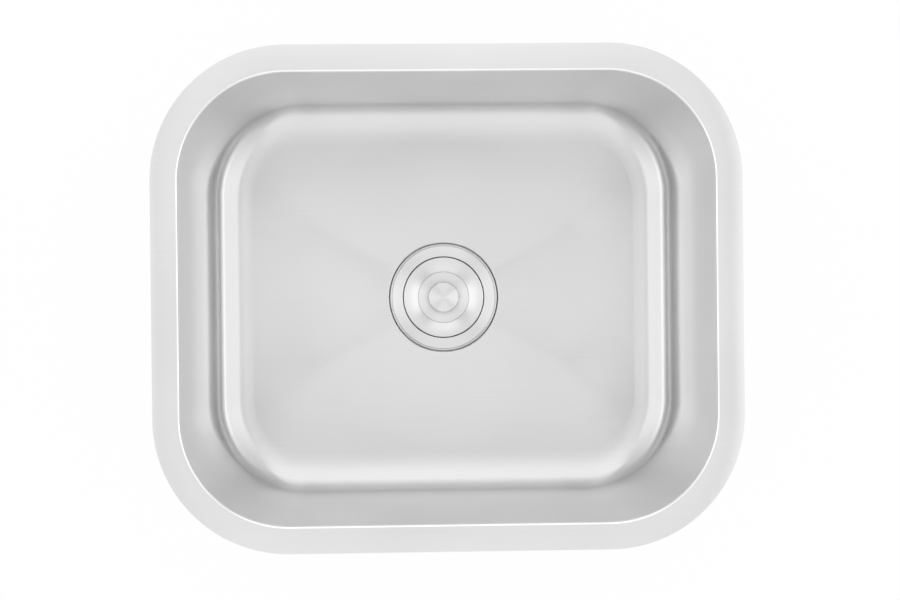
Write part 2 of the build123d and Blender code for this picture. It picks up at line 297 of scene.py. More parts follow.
def add_prism(bm, outline, low, high, place=None):
    """Adds the outline (points, anticlockwise) as an upright block, then moves it to its place."""
    foot = [bm.verts.new((p.x, p.y, low)) for p in outline]
    top = [bm.verts.new((p.x, p.y, high)) for p in outline]
    bm.faces.new(reversed(foot))
    bm.faces.new(top)
    for i in range(len(outline)):
        j = (i + 1) % len(outline)
        bm.faces.new((foot[i], foot[j], top[j], top[i]))
    if place:
        bmesh.ops.transform(bm, matrix=place, verts=foot + top)


def prism(name, path, low, high, edge, place=None):
    """A block of this outline with its long edges rounded."""
    bm = bmesh.new()
    add_prism(bm, rounded(path, closed=True), low, high)
    caps = [f for f in bm.faces if abs(f.normal.z) > 0.5 or len(f.verts) > 4]
    rims = list({e for f in caps for e in f.edges})
    bmesh.ops.bevel(
        bm, geom=rims, offset=edge, segments=bevel_segments, profile=0.5, affect="EDGES"
    )
    if place:
        bmesh.ops.transform(bm, matrix=place, verts=bm.verts)
    return finish_mesh(name, bm)


def carve(piece, cutter):
    """The piece with the cutter's blocks cut out of it."""
    bmesh.ops.recalc_face_normals(cutter, faces=cutter.faces)
    mesh = bpy.data.meshes.new("cutter")
    cutter.to_mesh(mesh)
    cutter.free()
    tool = bpy.data.objects.new("cutter", mesh)
    bpy.context.scene.collection.objects.link(tool)
    modifier = piece.modifiers.new("cut", "BOOLEAN")
    modifier.object = tool
    modifier.solver = "EXACT"
    carved = piece.evaluated_get(bpy.context.evaluated_depsgraph_get())
    whole = piece.data
    piece.data = bpy.data.meshes.new_from_object(carved)
    piece.modifiers.clear()
    bpy.data.meshes.remove(whole)
    bpy.data.objects.remove(tool)
    bpy.data.meshes.remove(mesh)
    piece.data.shade_smooth()
    piece.data.set_sharp_from_angle(angle=sharp_angle)
    return piece


# ================================================================ materials
def shader_of(name):
    """A new material, its node tree and its main shader."""
    material = bpy.data.materials.new(name)
    material.use_nodes = True
    tree = material.node_tree
    return material, tree, tree.nodes["Principled BSDF"]


def add(tree, kind, inputs=None, **settings):
    """A node with its settings, and each input set to a value or linked to a socket."""
    node = tree.nodes.new(kind)
    for key, value in settings.items():
        setattr(node, key, value)
    for key, value in (inputs or {}).items():
        if isinstance(value, bpy.types.NodeSocket):
            tree.links.new(value, node.inputs[key])
        else:
            node.inputs[key].default_value = value
    return node


def math_of(tree, operation, a, b=0.0):
    return add(tree, "ShaderNodeMath", {0: a, 1: b}, operation=operation).outputs[0]


def scaled(tree, vector, factors):
    node = add(tree, "ShaderNodeVectorMath", {0: vector, 1: factors}, operation="MULTIPLY")
    return node.outputs[0]


def part_of(tree, vector, axis):
    return add(tree, "ShaderNodeSeparateXYZ", {0: vector}).outputs[axis]


def own_place(tree):
    """The point on the piece, in metres of the model's frame."""
    return add(tree, "ShaderNodeTexCoord").outputs["Object"]


def own_normal(tree):
    return add(tree, "ShaderNodeTexCoord").outputs["Normal"]


def noise(tree, vector, scale=1.0, detail=2.0, roughness=0.5):
    inputs = {"Vector": vector, "Scale": scale, "Detail": detail, "Roughness": roughness}
    return add(tree, "ShaderNodeTexNoise", inputs).outputs["Fac"]


def spread(tree, value, low, high):
    """Noise is near 0.5 most of the time, so its middle is stretched over the range."""
    inputs = {"Value": value, "From Min": 0.3, "From Max": 0.7, "To Min": low, "To Max": high}
    return add(tree, "ShaderNodeMapRange", inputs).outputs["Result"]


def share_of(tree, value, none, full):
    """0 where the value is none, 1 where it is full, and even between them."""
    inputs = {"Value": value, "From Min": none, "From Max": full}
    return add(tree, "ShaderNodeMapRange", inputs).outputs["Result"]


def varied(tree, middle, line, line_reach, patch, patch_reach):
    """A value that the lines and the patches move to either side of its middle."""
    lines = spread(tree, line, -line_reach, line_reach)
    patches = spread(tree, patch, -patch_reach, patch_reach)
    return math_of(tree, "ADD", math_of(tree, "ADD", lines, patches), middle)


def grey(tree, value, tint=(1, 1, 1)):
    """A value as a colour of that brightness."""
    parts = [math_of(tree, "MULTIPLY", value, share) for share in tint]
    inputs = {"Red": parts[0], "Green": parts[1], "Blue": parts[2]}
    return add(tree, "ShaderNodeCombineColor", inputs).outputs[0]


def bump(tree, height, strength, distance):
    inputs = {"Height": height, "Strength": strength, "Distance": distance}
    return add(tree, "ShaderNodeBump", inputs).outputs["Normal"]


def steel(name, lines, patches, brightness, roughness, anisotropy, painted_highlight=None):
    """Brushed steel. lines, patches and the highlight are functions that give a value from the node
    tree: the brushed lines, the soft uneven areas and where a highlight is painted into the colour."""
    material, tree, shader = shader_of(name)
    line = lines(tree)
    patch = patches(tree)
    shade = varied(tree, brightness, line, line_shade, patch, patch_shade)
    rough = varied(tree, roughness, line, line_rough, patch, patch_rough)
    # painted highlight: the colour is made brighter where the function gives 1, on the bowl's
    # rolled lip
    if painted_highlight:
        shade = math_of(tree, "ADD", shade, math_of(tree, "MULTIPLY", painted_highlight(tree), lip_highlight_gain))
    quarter_turn = 0.25
    shader.inputs["Metallic"].default_value = 1
    shader.inputs["Anisotropic"].default_value = anisotropy
    shader.inputs["Anisotropic Rotation"].default_value = quarter_turn
    tree.links.new(grey(tree, shade), shader.inputs["Base Color"])
    tree.links.new(rough, shader.inputs["Roughness"])
    tree.links.new(bump(tree, line, strength=0.005, distance=0.02 * mm), shader.inputs["Normal"])
    return material, tree, shader


def straight_lines(tree):
    """Lines along the sheet: along X on the floor and the long walls, down the short ones."""
    place = own_place(tree)
    floor_cells = (along_lines, sheet_lines, along_lines)
    wall_cells = (along_lines, along_lines, sheet_lines)
    on_floor = noise(tree, scaled(tree, place, floor_cells), detail=3)
    on_wall = noise(tree, scaled(tree, place, wall_cells), detail=3)
    towards_y = math_of(tree, "ABSOLUTE", part_of(tree, own_normal(tree), "Y"))
    share = math_of(tree, "POWER", towards_y, 2.0)
    return add(tree, "ShaderNodeMix", {0: share, 2: on_floor, 3: on_wall}).outputs[0]


def round_lines(tree):
    """Lines round the drain's axis, as a lathe leaves them."""
    place = own_place(tree)
    flat = scaled(tree, place, (1, 1, 0))
    length = add(tree, "ShaderNodeVectorMath", {0: flat}, operation="LENGTH").outputs["Value"]
    way = add(tree, "ShaderNodeVectorMath", {0: flat}, operation="NORMALIZE").outputs[0]
    way_cells = 1.3                         # so few that the lines are long arcs
    around = scaled(tree, way, (way_cells, way_cells, 0))
    section = math_of(tree, "ADD", length, part_of(tree, place, "Z"))
    across = math_of(tree, "MULTIPLY", section, turned_lines)
    inputs = {"X": part_of(tree, around, "X"), "Y": part_of(tree, around, "Y"), "Z": across}
    vector = add(tree, "ShaderNodeCombineXYZ", inputs).outputs[0]
    return noise(tree, vector, detail=3)


def soft_patches(tree, scale=7.0):
    return noise(tree, own_place(tree), scale=scale, detail=1)


def lip_painted_highlight(tree):
    """1 on the rolled lip, where a highlight is painted into the colour, and 0 elsewhere: it ends
    just below the roll, and where the sheet turns level."""
    height = part_of(tree, own_place(tree), "Z")
    upright = part_of(tree, own_normal(tree), "Z")
    near_top = share_of(tree, height, -1.3 * rim_roll, -0.9 * rim_roll)
    tilted = share_of(tree, upright, 0.985, 0.96)
    return math_of(tree, "MULTIPLY", near_top, tilted)


def bowl_steel():
    """The sheet's brushing was straight before it was drawn, and the mesh carries its direction."""
    material, tree, shader = steel(
        "bowl_steel",
        straight_lines,
        soft_patches,
        brightness=0.778,
        roughness=0.288,
        anisotropy=0.94,
        # painted highlight on the rolled lip
        painted_highlight=lip_painted_highlight,
    )
    brush = add(tree, "ShaderNodeAttribute", attribute_name="brush")
    tree.links.new(brush.outputs["Vector"], shader.inputs["Tangent"])
    return material


def turned_steel(name, brightness, roughness, anisotropy):
    def small_patches(tree):
        return soft_patches(tree, scale=30)

    material, tree, shader = steel(
        name, round_lines, small_patches, brightness, roughness, anisotropy
    )
    around = add(tree, "ShaderNodeTangent", direction_type="RADIAL", axis="Z")
    tree.links.new(around.outputs[0], shader.inputs["Tangent"])
    return material


def rubber(name, brightness, roughness):
    """Moulded rubber with a fine pitted skin and a little dust."""
    material, tree, shader = shader_of(name)
    place = own_place(tree)
    dust = noise(tree, place, scale=25, detail=5, roughness=0.6)
    grain = noise(tree, place, scale=1500, detail=2)
    shade = spread(tree, dust, brightness * 0.85, brightness * 1.3)
    tree.links.new(grey(tree, shade, tint=(1, 1, 1.03)), shader.inputs["Base Color"])
    tree.links.new(
        spread(tree, dust, roughness - 0.06, roughness + 0.06), shader.inputs["Roughness"]
    )
    tree.links.new(bump(tree, grain, strength=0.35, distance=0.1 * mm), shader.inputs["Normal"])
    return material


def fibre():
    """Pressed fibre board."""
    material, tree, shader = shader_of("fibre")
    place = own_place(tree)
    strands = noise(tree, scaled(tree, place, (500, 120, 500)), detail=4)
    shade = spread(tree, strands, 0.85, 1.1)
    tree.links.new(grey(tree, shade, tint=(0.55, 0.42, 0.28)), shader.inputs["Base Color"])
    tree.links.new(bump(tree, strands, strength=0.3, distance=0.1 * mm), shader.inputs["Normal"])
    shader.inputs["Roughness"].default_value = 0.85
    return material


def nylon():
    material, tree, shader = shader_of("nylon")
    place = own_place(tree)
    cloud = noise(tree, place, scale=60, detail=3)
    shade = spread(tree, cloud, 0.76, 0.84)
    tree.links.new(grey(tree, shade, tint=(1, 1, 0.96)), shader.inputs["Base Color"])
    shader.inputs["Roughness"].default_value = 0.4
    return material


def cast_brass():
    """Cast metal with a skin of fine pits, and stains that vary its brightness and roughness."""
    material, tree, shader = shader_of("nut_brass")
    place = own_place(tree)
    stain = noise(tree, place, scale=40, detail=5)
    pits = noise(tree, place, scale=900, detail=3)
    shade = spread(tree, stain, 0.85, 1.05)
    tree.links.new(grey(tree, shade, tint=(0.72, 0.56, 0.30)), shader.inputs["Base Color"])
    tree.links.new(spread(tree, stain, 0.33, 0.45), shader.inputs["Roughness"])
    tree.links.new(bump(tree, pits, strength=0.3, distance=0.08 * mm), shader.inputs["Normal"])
    shader.inputs["Metallic"].default_value = 1
    return material


def chrome():
    """Bright plating with faint smears from handling."""
    material, tree, shader = shader_of("chrome")
    place = own_place(tree)
    smear = noise(tree, place, scale=35, detail=5, roughness=0.65)
    tree.links.new(grey(tree, spread(tree, smear, 0.78, 0.84)), shader.inputs["Base Color"])
    tree.links.new(spread(tree, smear, 0.05, 0.14), shader.inputs["Roughness"])
    shader.inputs["Metallic"].default_value = 1
    return material


# ================================================================ pressed bowl
def bowl_paths():
    """The bowl's section as (distance in from the opening's outline, height, corner radius),
    and the drain's as (minus its radius, height, corner radius), upper side and under side."""
    foot = knee + slope_length * math.cos(cove_slope)
    side = [
        (-flange_ring, 0, 0),
        (lip_inset, 0, rim_roll),
        (knee, -knee_depth, cove_wall_radius),
        (foot, -floor_depth, cove_floor_radius),
        (foot + floor_reach + sheet, -floor_depth, 0),
    ]
    slope = (bowl_depth - floor_depth) / (dish_radius - recess_lip)
    recess_top = -bowl_depth - slope * (recess_lip - recess_wall_top)
    flat_strip = 0.5 * mm                   # before the dish's soft edge begins
    blend_start = dish_radius + dish_blend * math.tan(slope / 2) + flat_strip
    drain = [
        (-blend_start, -floor_depth, 0),
        (-dish_radius, -floor_depth, dish_blend),
        (-recess_wall_top, recess_top, recess_round),
        (-recess_wall_foot, seat_height, recess_foot_round),
        (-outlet_radius, seat_height, 0),
    ]
    return side, drain


def flange_edge(path, height):
    """The path with the flange's round edge in front of it."""
    first = (path[0][0], path[0][1], flange_edge_round)
    return [(path[0][0], height, 0), first, *path[1:]]


def outlet_edge(path, height):
    last = (path[-1][0], path[-1][1], outlet_edge_round)
    return [*path[:-1], last, (path[-1][0], height, 0)]


def pressed_bowl():
    side, drain = bowl_paths()
    stations = round_rectangle(
        opening_x, opening_y, opening_corner, straight_spacing, corner_stations
    )
    flange_middle = -sheet / 2
    seat_middle = seat_height - sheet / 2

    def side_row(inset, height):
        return [(*(point - normal * inset), height) for point, normal in stations]

    def drain_row(start, radius, height):
        return [(*(Vector(p[:2]).normalized() * radius), height) for p in start]

    def one_side(side_path, drain_path):
        rows = [side_row(x, z) for x, z in rounded(flange_edge(side_path, flange_middle))]
        last = rows[-1]
        drain_points = rounded(outlet_edge(drain_path, seat_middle))
        disc = [drain_row(last, -x, z) for x, z in drain_points]
        between = []
        for share in (0.25, 0.5, 0.75):
            pairs = zip(last, disc[0])
            between.append([Vector(a).lerp(Vector(b), share) for a, b in pairs])
        return rows + between + disc

    upper = one_side(side, drain)
    under = one_side(other_side(side, sheet), other_side(drain, sheet))
    rows = upper + under[-2:0:-1]
    bm = bmesh.new()
    skin(bm, rows)
    # the direction of the brushing: along X in the flat sheet, turned with it where it is drawn
    directions = []
    for i, row in enumerate(rows):
        after = rows[(i + 1) % len(rows)]
        before = rows[i - 1]
        for j, (point, normal) in enumerate(stations):
            down = (Vector(after[j]) - Vector(before[j])).normalized()
            along = Vector((-normal.y, normal.x, 0))
            directions += (down * -normal.x + along * along.x).normalized()[:]
    piece = finish_mesh("pressed_bowl", bm)
    brush = piece.data.attributes.new("brush", "FLOAT_VECTOR", "POINT")
    brush.data.foreach_set("vector", directions)
    return piece


# ================================================================ drain
def sheet_outline(path, thickness):
    """Closed outline of a sheet whose upper side follows the path, from the axis outwards."""
    edge = 0.3 * thickness
    far = other_side(path, thickness)
    for side in (path, far):
        for i in (0, -1):
            side[i] = (side[i][0], side[i][1], edge if side[i][0] else 0)
    return rounded([*path, *reversed(far)], closed=True)


def ring_outline(inner, outer, bottom, top, edge):
    corners = [(inner, bottom), (outer, bottom), (outer, top), (inner, top)]
    return rounded([(*corner, edge) for corner in corners], closed=True)


def with_rows(outline, radius, low, high, spacing):
    """The outline with close rows added on its straight side at this radius."""
    points = []
    for i, point in enumerate(outline):
        points.append(point)
        after = outline[(i + 1) % len(outline)]
        if abs(point.x - radius) > tolerance or abs(after.x - radius) > tolerance:
            continue
        if min(point.y, after.y) > low or max(point.y, after.y) < high:
            continue
        count = round((high - low) / spacing)
        heights = [low + (high - low) * j / count for j in range(count + 1)]
        if after.y < point.y:
            heights.reverse()
        points += [Vector((radius, z)) for z in heights]
    return points


def thread(radius, low, high, pitch, depth):
    """A reshape function that cuts a screw thread into the wall at this radius."""

    def cut(angle, r, z):
        if abs(r - radius) > tolerance or not low <= z <= high:
            return r, z
        turn = (z / pitch - angle / (2 * math.pi)) % 1
        wave = 1 - abs(2 * turn - 1)
        run_out = min(1, (z - low) / pitch, (high - z) / pitch)
        return r - depth * run_out * (1 - wave) ** flank_power, z

    return cut


def strainer():
    """The strainer's flange, its threaded cup and its threaded spud."""
    outline = rounded(
        [
            (strainer_rim, flange_foot, 0.1 * mm),
            (strainer_rim, flange_foot + 1.1 * mm, 0.25 * mm),
            (groove_outer, flange_foot + 1.2 * mm, 0.1 * mm),
            (groove_middle, flange_foot + 0.1 * mm, 0.05 * mm),
            (groove_inner, flange_foot + 1.35 * mm, 0.3 * mm),
            (mouth_radius, crown, 0.8 * mm),
            (mouth_radius, ledge_height, 0.3 * mm),
            (cup_radius, ledge_height, 0.4 * mm),
            (cup_radius, cup_floor, 9 * mm),
            (outlet_bore, spud_top, 1.5 * mm),
            (outlet_bore, spud_foot, 0.3 * mm),
            (spud_radius, spud_foot, 0.5 * mm),
            (spud_radius, spud_top - cup_wall, 2 * mm),
            (cup_outer, cup_floor - cup_wall, 4 * mm),
            (cup_outer, flange_foot, 0.2 * mm),
        ],
        closed=True,
    )
    cup_low, cup_high = cup_floor + 3 * mm, nut_low.z + 2 * mm
    spud_low, spud_high = spud_foot + 1 * mm, spud_top - cup_wall - 3 * mm
    outline = with_rows(outline, cup_outer, cup_low, cup_high, thread_rows)
    outline = with_rows(outline, spud_radius, spud_low, spud_high, thread_rows)
    cup_thread = thread(cup_outer, cup_low, cup_high, thread_pitch, 0.9 * mm)
    spud_thread = thread(spud_radius, spud_low, spud_high, thread_pitch, 0.8 * mm)

    def both(angle, r, z):
        return spud_thread(angle, *cup_thread(angle, r, z))

    return turned("strainer", outline, reshape=both)


def strainer_cross():
    """The two bars across the outlet."""
    reach = outlet_bore + cup_wall / 2
    half, height, inner_round, edge = 1.5 * mm, 3 * mm, 1.5 * mm, 0.8 * mm
    outline = []
    for quarter in range(4):
        turn = Matrix.Rotation(quarter * math.pi / 2, 2)
        for x, y, radius in ((reach, -half, 0), (reach, half, 0), (half, half, inner_round)):
            corner = turn @ Vector((x, y))
            outline.append((corner.x, corner.y, radius))
    return prism("strainer_cross", outline, spud_top - height, spud_top, edge)


def lock_nut():
    """Cast ring nut with eight lugs to turn it by."""
    lugs = 8
    lug_half, lug_flank = 5.2, 1.8          # degrees
    hub, base, bore = 49 * mm, nut_high.x, 44.4 * mm
    base_foot = nut_high.z - 3.5 * mm
    outline = rounded(
        [
            (bore, nut_low.z, 0.8 * mm),
            (hub, nut_low.z, 1.2 * mm),
            (hub, base_foot, 0.8 * mm),
            (base, base_foot, 0.6 * mm),
            (base, nut_high.z, 0.4 * mm),
            (bore, nut_high.z, 0.4 * mm),
        ],
        closed=True,
    )

    def add_lugs(angle, r, z):
        if z > base_foot + tolerance or r < hub - 2 * mm or r > hub + tolerance:
            return r, z
        off = abs((angle * lugs / (2 * math.pi) + 0.5) % 1 - 0.5) * 360 / lugs
        share = min(1, max(0, (lug_half - off) / lug_flank))
        return r + (base - hub) * share * share * (3 - 2 * share), z

    return turned("lock_ring_nut", outline, segments=320, reshape=add_lugs)


def coupling_nut():
    """Hexagon nut turned to a cone at both ends."""
    foot, top = coupling_low.z, coupling_high.z
    half_flats = coupling_high.y
    widest = half_flats * 1.135             # the hexagon's corners are turned off there
    cone_slope = 0.7
    lip_top = foot + 4 * mm
    lower_bore = tail_radius + 0.15 * mm
    upper_bore = spud_radius + 0.15 * mm
    outline = rounded(
        [
            (lower_bore, foot, 0.3 * mm),
            (half_flats - 0.6 * mm, foot, 0),
            (half_flats, foot + 0.3 * mm, 0),
            (half_flats, top - 0.3 * mm, 0),
            (half_flats - 0.6 * mm, top, 0),
            (upper_bore, top, 0.5 * mm),
            (upper_bore, lip_top, 0.3 * mm),
            (lower_bore, lip_top, 0.3 * mm),
        ],
        closed=True,
    )

    def hexagon(angle, r, z):
        if r < half_flats - tolerance:
            return r, z
        off = (angle % (math.pi / 3)) - math.pi / 6
        far = min(widest, half_flats / math.cos(off))
        drop = (far - half_flats) * cone_slope
        return far, z + drop if z < (foot + top) / 2 else z - drop

    return turned("coupling_hex_nut", outline, segments=240, reshape=hexagon)


def tailpiece():
    """Outlet pipe with a flange at its head and a slightly narrower neck under it."""
    foot, top = tailpiece_low.z, tailpiece_high.z
    flange = tailpiece_high.x
    neck = 18.7 * mm
    under_flange = top - 1.5 * mm
    outline = [
        (tail_bore, top, 0.4 * mm),
        (flange, top, 0.5 * mm),
        (flange, under_flange, 0.5 * mm),
        (neck, under_flange, 0.5 * mm),
        (neck, under_flange - 7 * mm, 1.5 * mm),
        (tail_radius, under_flange - 7.6 * mm, 1.5 * mm),
        (tail_radius, foot, 0.5 * mm),
        (tail_bore, foot, 0.4 * mm),
    ]
    return turned("outlet_tube", rounded(outline, closed=True))


def washer(node, inner, edge):
    """A ring as wide and as high as its node."""
    low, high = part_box(node)
    return turned(f"{node}_ring", ring_outline(inner, high.x, low.z, high.z, edge))


# ================================================================ basket
def basket_cup():
    """Pressed basket, its slots and holes cut through the sheet."""
    rim = basket_high.x
    rim_top, floor = basket_high.z, basket_low.z + basket_sheet
    foot_radius, foot_rise = 35.4 * mm, 5 * mm
    lean = (basket_mouth - foot_radius) / (rim_top - floor - foot_rise)
    path = [
        (0, floor, 0),
        (foot_radius - lean * foot_rise, floor, 8 * mm),
        (basket_mouth, rim_top, 1.6 * mm),
        (rim, rim_top, 0),
    ]
    cup = turned("basket", sheet_outline(path, basket_sheet))
    cutter = bmesh.new()
    # slots in the wall, each cut by a block that lies on its side and points outwards
    slot_half, slot_round = 9.5 * mm, 2 * mm
    block_start, block_length = 28 * mm, 18 * mm
    middle = (rim_top + floor) / 2
    slot_side = slot_round * 1.001          # hardly more than its round ends need
    shape = round_rectangle(slot_side, slot_half, slot_round, spacing=slot_half, corner_count=8)
    slot = [point for point, _ in shape]
    lying = Matrix(((0, 0, 1, block_start), (1, 0, 0, 0), (0, 1, 0, middle), (0, 0, 0, 1)))
    for degrees in range(15, 360, 30):
        turn = Matrix.Rotation(math.radians(degrees), 4, "Z")
        add_prism(cutter, slot, 0, block_length, turn @ lying)
    # round holes in the floor, in rings
    hole_radius, hole_points, hole_reach = 2.4 * mm, 24, 3 * mm
    angles = [2 * math.pi * j / hole_points for j in range(hole_points)]
    hole = [Vector((math.cos(a), math.sin(a))) * hole_radius for a in angles]
    for ring, count in ((0, 1), (11 * mm, 6), (23 * mm, 12)):
        for i in range(count):
            angle = 2 * math.pi * i / count
            place = Matrix.Translation((ring * math.cos(angle), ring * math.sin(angle), floor))
            add_prism(cutter, hole, -hole_reach, hole_reach, place)
    return carve(cup, cutter)


def basket_handle():
    """Bent wire across the basket, welded to its wall."""
    foot = basket_mouth - 2.0 * mm
    foot_height = basket_high.z - 18 * mm
    grip_half, grip_height, bend = 20 * mm, basket_high.z - 9.3 * mm, 9 * mm
    wire_radius = 1.2 * mm
    path = rounded(
        [
            (-foot, foot_height, 0),
            (-grip_half, grip_height, bend),
            (grip_half, grip_height, bend),
            (foot, foot_height, 0),
        ]
    )
    curve = bpy.data.curves.new("basket_grip", "CURVE")
    curve.dimensions = "3D"
    curve.bevel_depth = wire_radius
    curve.bevel_resolution = 6
    curve.use_fill_caps = True
    spline = curve.splines.new("POLY")
    spline.points.add(len(path) - 1)
    for point, place in zip(spline.points, path):
        point.co = (place.x, 0, place.y, 1)
    spline.use_smooth = True
    piece = bpy.data.objects.new("basket_grip", curve)
    bpy.context.scene.collection.objects.link(piece)
    return piece


# ================================================================ lid
def lid():
    """Pressed lid, dished round its knob, with a crease round the dish."""
    crease_inner, crease_outer, crease_height = 26.8 * mm, 27.3 * mm, 0.6 * mm
    shoulder, shoulder_round = 36 * mm, 34 * mm
    path = [
        (screw_radius, dish_top, 0),
        (crease_inner, dish_top, 0.3 * mm),
        (crease_outer, dish_top + crease_height, 1.0 * mm),
        (shoulder, lid_top, shoulder_round),
        (lid_high.x, lid_top, 1.0 * mm),
        (lid_high.x, lid_low.z, 0),
    ]
    return turned("lid", sheet_outline(path, lid_sheet))


def lid_seal():
    """Rubber channel pushed on to the lid's skirt."""
    low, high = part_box("lid_seal")
    inner, skirt = 40.6 * mm, lid_high.x
    outline = [
        (inner, low.z, 0.5 * mm),
        (high.x, low.z, 0.5 * mm),
        (high.x, high.z, 0.15 * mm),
        (skirt, high.z, 0.1 * mm),
        (skirt, lid_low.z, 0),
        (skirt - lid_sheet, lid_low.z, 0),
        (skirt - lid_sheet, high.z, 0.1 * mm),
        (inner, high.z, 0.3 * mm),
    ]
    return turned("lid_seal_ring", rounded(outline, closed=True))


def lid_knob():
    """Flat round knob on a neck, with a foot that stands on the lid."""
    top, edge = knob_high.z, knob_high.x
    disc_foot = top - 3 * mm
    neck, foot = 5.5 * mm, 8.5 * mm
    bore_top = dish_top + 5.5 * mm
    outline = [
        (0, top, 0),
        (edge, top - 0.5 * mm, 1.0 * mm),
        (edge, disc_foot, 1.2 * mm),
        (neck, disc_foot, 1.0 * mm),
        (neck, dish_top + 0.6 * mm, 2.0 * mm),
        (foot, dish_top + 0.3 * mm, 0),
        (foot, dish_top, 0),
        (screw_radius, dish_top, 0),
        (screw_radius, bore_top, 0),
        (0, bore_top, 0),
    ]
    return turned("knob", rounded(outline, closed=True))


def knob_screw():
    """Screw with a round head below the lid and a cross recess in it."""
    low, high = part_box("knob_screw")
    head_top = low.z + 2.2 * mm
    outline = rounded(
        [
            (0, low.z, 0),
            (high.x, low.z, 1.1 * mm),
            (high.x, head_top, 0.2 * mm),
            (screw_radius, head_top, 0.2 * mm),
            (screw_radius, high.z, 0.4 * mm),
            (0, high.z, 0),
        ],
        closed=True,
    )
    screw = turned("screw", outline, segments=64)
    cutter = bmesh.new()
    arm, half, recess_depth = 2.6 * mm, 0.45 * mm, 1.3 * mm
    corners = []
    for quarter in range(4):
        turn = Matrix.Rotation(quarter * math.pi / 2, 2)
        corners += [turn @ Vector(c) for c in ((arm, -half), (arm, half), (half, half))]
    add_prism(cutter, corners, low.z - 1 * mm, low.z + recess_depth)
    return carve(screw, cutter)


# ================================================================ sound pads
def wall_pad(node, towards):
    """A pad lying on the outer face of one wall. It is thicker than the solid's by the gap that
    the lip's inset leaves between the wall and that solid."""
    low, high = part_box(node)
    towards = Vector(towards)
    middle = (low + high) / 2
    tilt = Vector((*(towards * math.cos(wall_lean)), -math.sin(wall_lean)))
    gap = lip_inset * (1 + middle.z / knee_depth)
    along = Vector((-towards.y, towards.x, 0))
    up = tilt.cross(along)
    long_half = max(high.x - low.x, high.y - low.y) / 2
    lean_rise = 0.02 * mm                   # because it leans, its box is taller at both ends
    high_half = (high.z - low.z) / 2 - lean_rise
    corners = [(-long_half, -high_half), (long_half, -high_half)]
    corners += [(long_half, high_half), (-long_half, high_half)]
    outline = [(*corner, pad_corner) for corner in corners]
    place = Matrix((along, up, tilt)).transposed().to_4x4()
    place.translation = middle - tilt * pad_thickness / 2
    return prism(f"{node}_mat", outline, -gap, pad_thickness, pad_edge, place)


def floor_pad(node, side):
    """A pad under the floor, cut round the dish."""
    low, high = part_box(node)
    near, far = 84.4 * mm, max(abs(low.x), abs(high.x))
    dish_gap, near_corner, steps = 3.5 * mm, 6 * mm, 40
    dish = dish_radius + dish_gap
    angle = math.acos(near / dish)
    outline = [
        (near, low.y, near_corner),
        (far, low.y, pad_corner),
        (far, high.y, pad_corner),
        (near, high.y, near_corner),
    ]
    for i in range(steps + 1):
        a = angle * (1 - 2 * i / steps)
        outline.append((dish * math.cos(a), dish * math.sin(a), 0))
    if side < 0:
        outline = [(-x, y, r) for x, y, r in reversed(outline)]
    return prism(f"{node}_mat", outline, low.z, high.z, pad_edge)


# ================================================================ pieces
finishes = {
    "bowl_steel": bowl_steel(),
    "drain_steel": turned_steel("drain_steel", brightness=0.82, roughness=0.30, anisotropy=0.85),
    "basket_steel": turned_steel("basket_steel", brightness=0.70, roughness=0.29, anisotropy=0.4),
    "pad_rubber": rubber("pad_rubber", brightness=0.055, roughness=0.62),
    "seal_rubber": rubber("seal_rubber", brightness=0.03, roughness=0.5),
    "fibre": fibre(),
    "nylon": nylon(),
    "nut_brass": cast_brass(),
    "chrome": chrome(),
}
slot_of = {part["node"]: part["material_slot"] for part in frame["record"]["subparts"]}
dressed = {
    "sink_bowl": [pressed_bowl()],
    "pad_wall_right": [wall_pad("pad_wall_right", towards=(1, 0))],
    "pad_wall_left": [wall_pad("pad_wall_left", towards=(-1, 0))],
    "pad_wall_back": [wall_pad("pad_wall_back", towards=(0, 1))],
    "pad_wall_front": [wall_pad("pad_wall_front", towards=(0, -1))],
    "pad_floor_right": [floor_pad("pad_floor_right", side=1)],
    "pad_floor_left": [floor_pad("pad_floor_left", side=-1)],
    "strainer_body": [strainer(), strainer_cross()],
    "flange_seal": [washer("flange_seal", inner=45.5 * mm, edge=0.3 * mm)],
    "deck_gasket": [washer("deck_gasket", inner=44.5 * mm, edge=0.9 * mm)],
    "friction_washer": [washer("friction_washer", inner=44.5 * mm, edge=0.2 * mm)],
    "lock_nut": [lock_nut()],
    "tailpiece_washer": [washer("tailpiece_washer", inner=tail_bore, edge=0.5 * mm)],
    "coupling_nut": [coupling_nut()],
    "tailpiece": [tailpiece()],
    "basket_cup": [basket_cup()],
    "basket_handle": [basket_handle()],
    "lid_disc": [lid()],
    "lid_seal": [lid_seal()],
    "lid_knob": [lid_knob()],
    "knob_washer": [washer("knob_washer", inner=screw_radius, edge=0.25 * mm)],
    "knob_screw": [knob_screw()],
}
for body, nodes in frame["record"]["behaviour"]["bodies"].items():
    for node in nodes:
        for piece in dressed[node]:
            piece.data.materials.append(finishes[slot_of[node]])
            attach(piece, body)
            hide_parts(node)


# ================================================================ floor, world, lights and camera
def seen_by_camera_or_metal(tree):
    """1 for the camera, and for rays that metal or glass sends out."""
    path = add(tree, "ShaderNodeLightPath")
    either = math_of(
        tree, "MAXIMUM", path.outputs["Is Camera Ray"], path.outputs["Is Glossy Ray"]
    )
    return math_of(tree, "MAXIMUM", either, path.outputs["Is Transmission Ray"])


